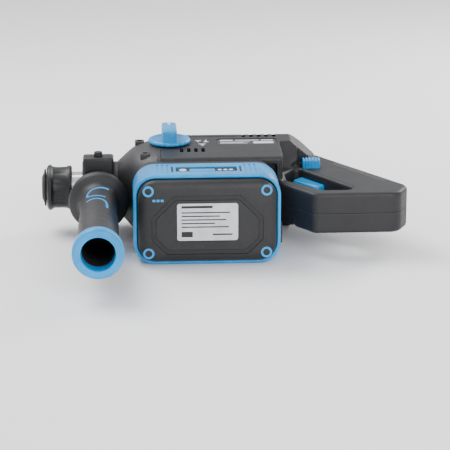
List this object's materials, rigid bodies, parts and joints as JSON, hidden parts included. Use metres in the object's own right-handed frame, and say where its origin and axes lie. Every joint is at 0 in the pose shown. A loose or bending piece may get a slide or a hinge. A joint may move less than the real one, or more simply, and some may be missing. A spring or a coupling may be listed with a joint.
{
  "type": "cordless rotary hammer drill",
  "caption": "Cordless rotary hammer drill with chuck sleeve, side handle, rear D-handle, mode knob and slide-on battery, with its working drive inside.",
  "frame": {"origin": "centre of the bounding box's underside, on the surface that the tool lies on", "axes": "+X from the chuck towards the rear handle, +Y towards the top of the tool, +Z towards its left side: it lies on its right side"},
  "size_m": [0.3012, 0.229, 0.0895],
  "materials": {
    "housing_plastic": "fine moulded grain, graphite",
    "gear_case_plastic": "fine moulded grain, mid grey",
    "grip_rubber": "textured soft overmould",
    "seal_rubber": "plain soft rubber",
    "black_plastic": "satin black",
    "blue_plastic": "satin light blue",
    "battery_plastic": "fine moulded grain, graphite",
    "handle_plastic": "satin dark grey",
    "drive_steel": "ground",
    "gear_steel": "hardened, oiled",
    "zinc_steel": "zinc plated",
    "motor_iron": "laminated",
    "winding_copper": "enamelled copper on laminations",
    "die_cast": "die cast",
    "contact_brass": "polished",
    "board": "solder mask",
    "lens_clear": "clear diffuser",
    "cell_wrap": "heat-shrink wrap"
  },
  "bodies": {
    "root": {"housing_left": "housing_plastic", "housing_right": "housing_plastic", "grip_pad": "grip_rubber", "gear_housing": "gear_case_plastic", "front_bearing": "drive_steel", "front_seal": "seal_rubber", "bearing_flange": "die_cast", "intermediate_bearing": "drive_steel", "stator": "winding_copper", "motor_bearing_front": "drive_steel", "motor_bearing_rear": "drive_steel", "trigger_switch": "black_plastic", "control_board": "board", "work_light_lens": "lens_clear", "terminal_block": "black_plastic", "terminal_blade_1": "contact_brass", "terminal_blade_2": "contact_brass", "terminal_blade_3": "contact_brass", "housing_screw_1": "zinc_steel", "housing_screw_2": "zinc_steel", "housing_screw_3": "zinc_steel", "housing_screw_4": "zinc_steel", "housing_screw_5": "zinc_steel"},
    "spindle": {"hammer_tube": "drive_steel", "locking_ball": "drive_steel", "spindle_gear": "gear_steel", "sleeve_spring": "drive_steel", "dust_cap": "seal_rubber"},
    "sleeve": {"sds_sleeve": "black_plastic"},
    "beat_piece": {"beat_piece": "drive_steel"},
    "striker": {"striker": "drive_steel"},
    "intermediate": {"intermediate_shaft": "drive_steel", "intermediate_pinion": "gear_steel", "intermediate_gear": "gear_steel"},
    "rotor": {"rotor_shaft": "drive_steel", "motor_pinion": "gear_steel", "rotor_magnets": "motor_iron", "cooling_fan": "black_plastic"},
    "wobble": {"wobble_ring": "drive_steel"},
    "piston": {"piston": "die_cast"},
    "mode_knob": {"mode_knob": "blue_plastic"},
    "trigger": {"trigger": "blue_plastic"},
    "direction_slider": {"direction_slider": "blue_plastic"},
    "battery": {"battery_case": "battery_plastic", "battery_cover": "battery_plastic", "battery_bumper": "blue_plastic", "battery_gauge": "black_plastic", "battery_board": "board", "battery_cell_pair_1": "cell_wrap", "battery_cell_pair_2": "cell_wrap", "battery_cell_pair_3": "cell_wrap", "battery_cell_pair_4": "cell_wrap", "battery_cell_pair_5": "cell_wrap"},
    "battery_release": {"battery_release": "blue_plastic"},
    "side_clamp": {"side_handle_base": "black_plastic", "side_handle_band": "zinc_steel", "side_handle_bolt": "zinc_steel"},
    "side_grip": {"side_handle_grip": "handle_plastic", "side_handle_end_ring": "blue_plastic"},
    "depth_lock": {"depth_lock_button": "black_plastic"}
  },
  "joints": [
    {"name": "spindle_spin", "type": "hinge", "parent": "root", "child": "spindle", "pos_m": [-0.06257, 0.0755, 0.0375], "axis": [1, 0, 0], "continuous": true},
    {"name": "sleeve_pull", "type": "slide", "parent": "spindle", "child": "sleeve", "axis": [1, 0, 0], "range_m": [0, 0.0075], "stiffness_N_per_m": 1500},
    {"name": "beat_piece_slide", "type": "slide", "parent": "spindle", "child": "beat_piece", "axis": [1, 0, 0], "range_m": [0, 0.004]},
    {"name": "striker_slide", "type": "slide", "parent": "spindle", "child": "striker", "axis": [1, 0, 0], "range_m": [-0.004, 0.004]},
    {"name": "intermediate_spin", "type": "hinge", "parent": "root", "child": "intermediate", "pos_m": [-0.05507, 0.0535, 0.0375], "axis": [1, 0, 0], "continuous": true},
    {"name": "rotor_spin", "type": "hinge", "parent": "root", "child": "rotor", "pos_m": [0.01343, 0.0695, 0.0375], "axis": [1, 0, 0], "continuous": true},
    {"name": "wobble_rock", "type": "hinge", "parent": "root", "child": "wobble", "pos_m": [-0.03257, 0.0535, 0.0375], "axis": [0, 0, 1], "range_deg": [-14, 14]},
    {"name": "piston_slide", "type": "slide", "parent": "root", "child": "piston", "axis": [1, 0, 0], "range_m": [-0.0053, 0.0053]},
    {"name": "mode_turn", "type": "hinge", "parent": "root", "child": "mode_knob", "pos_m": [-0.04257, 0.0755, 0.0755], "axis": [0, 0, 1], "range_deg": [-90, 45]},
    {"name": "trigger_pull", "type": "slide", "parent": "root", "child": "trigger", "axis": [0.8345, 0.551, 0], "range_m": [0, 0.007], "stiffness_N_per_m": 900, "springref_m": -0.002},
    {"name": "direction_slide", "type": "slide", "parent": "root", "child": "direction_slider", "axis": [0, 0, -1], "range_m": [0, 0.004]},
    {"name": "battery_slide", "type": "slide", "parent": "root", "child": "battery", "axis": [0, -1, 0], "range_m": [0, 0.07]},
    {"name": "battery_release_press", "type": "slide", "parent": "battery", "child": "battery_release", "axis": [1, 0, 0], "range_m": [0, 0.0023], "stiffness_N_per_m": 800},
    {"name": "side_handle_swivel", "type": "hinge", "parent": "root", "child": "side_clamp", "pos_m": [-0.10257, 0.0755, 0.0375], "axis": [1, 0, 0], "continuous": true},
    {"name": "side_grip_twist", "type": "hinge", "parent": "side_clamp", "child": "side_grip", "pos_m": [-0.10257, -0.0245, 0.0375], "axis": [0, 1, 0], "continuous": true},
    {"name": "depth_lock_press", "type": "slide", "parent": "side_clamp", "child": "depth_lock", "axis": [0, 0, -1], "range_m": [0, 0.0025], "stiffness_N_per_m": 800}
  ],
  "couplings": [
    {"joint": "intermediate_spin", "follows": "spindle_spin", "ratio": -2.6667},
    {"joint": "rotor_spin", "follows": "spindle_spin", "ratio": 5.8667},
    {"joint": "wobble_rock", "follows": "piston_slide", "rad_per_m": -45.455}
  ]
}
